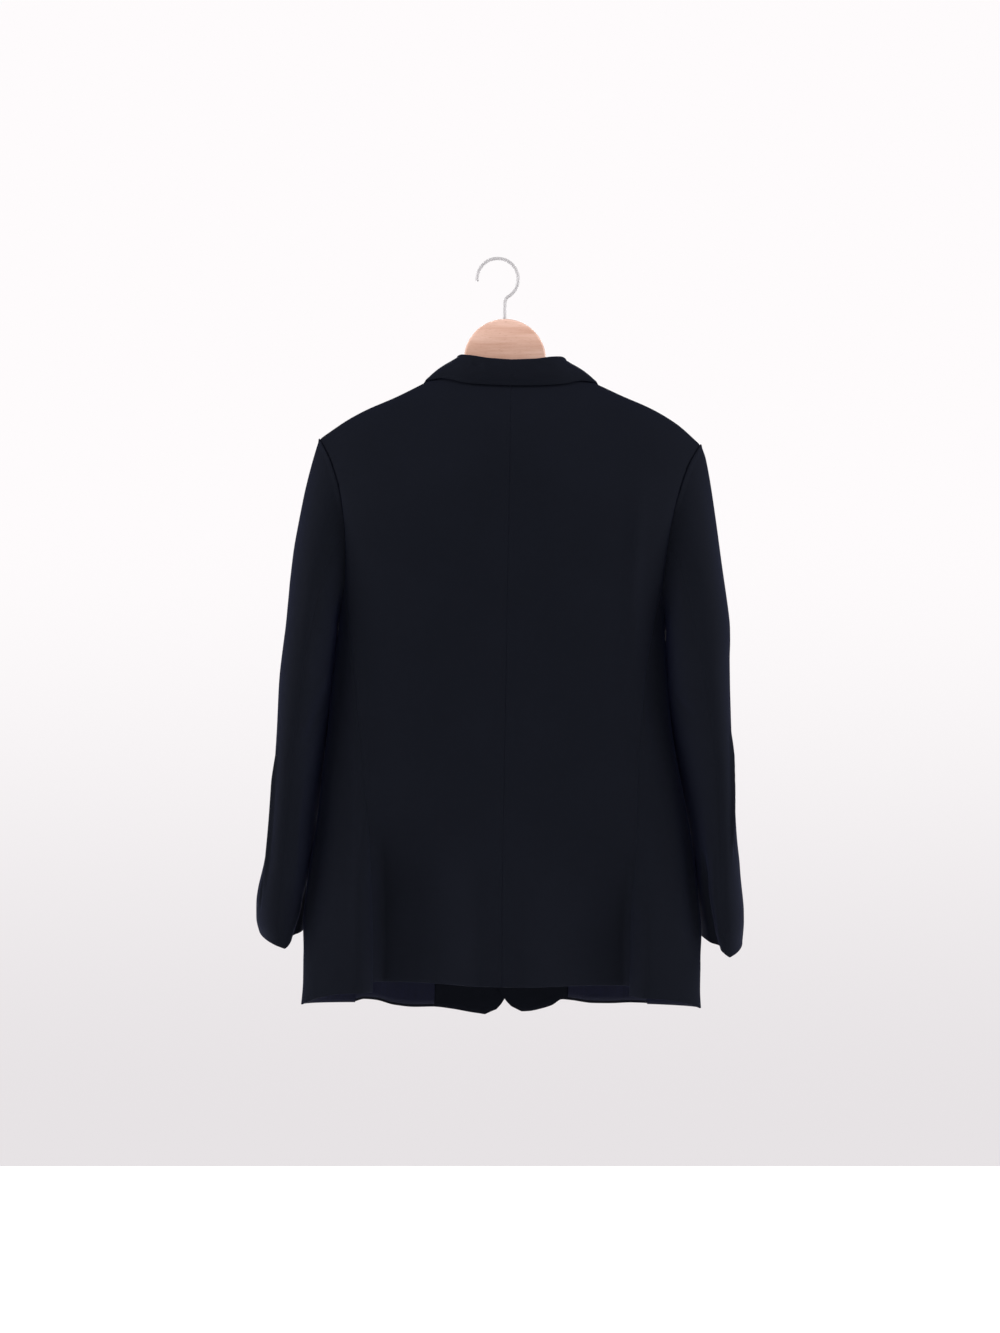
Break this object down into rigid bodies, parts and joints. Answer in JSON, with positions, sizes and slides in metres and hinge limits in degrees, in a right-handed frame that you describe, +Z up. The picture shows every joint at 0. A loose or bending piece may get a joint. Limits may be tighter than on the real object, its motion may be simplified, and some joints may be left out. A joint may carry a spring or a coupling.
{
  "type": "single breasted blazer on a wooden hanger",
  "caption": "Single breasted blazer with notched lapels, flap pockets and side vents, hanging open and empty on a wooden hanger with a wire hook.",
  "frame": {"origin": "inside the top of the hook's bend, where it rests on the rail that holds hanger and blazer", "axes": "+Z up, -Y out of the blazer's back, +Y out of its front, +X towards the wearer's right"},
  "size_m": [0.5919, 0.1807, 0.9235],
  "materials": {
    "navy_wool": "fine smooth worsted, dull",
    "purple_satin": "satin lining",
    "beech": "pale, satin varnish",
    "steel_wire": "bright wire",
    "dark_horn": "dark, half gloss"
  },
  "bodies": {
    "root": {"back_left": "navy_wool", "back_right": "navy_wool", "breast_welt": "navy_wool", "button_lower": "dark_horn", "button_upper": "dark_horn", "collar": "navy_wool", "facing_left": "navy_wool", "facing_right": "navy_wool", "front_left": "navy_wool", "front_right": "navy_wool", "hanger_hook": "steel_wire", "hanger_wood": "beech", "lapel_left": "navy_wool", "lapel_right": "navy_wool", "lining_left": "purple_satin", "lining_right": "purple_satin", "pocket_flap_left": "navy_wool", "pocket_flap_right": "navy_wool", "side_left": "navy_wool", "side_right": "navy_wool", "top_sleeve_left": "navy_wool", "top_sleeve_right": "navy_wool", "under_sleeve_left": "navy_wool", "under_sleeve_right": "navy_wool", "upper_back_left": "navy_wool", "upper_back_right": "navy_wool", "vent_lap_left": "navy_wool", "vent_lap_right": "navy_wool"}
  },
  "joints": []
}
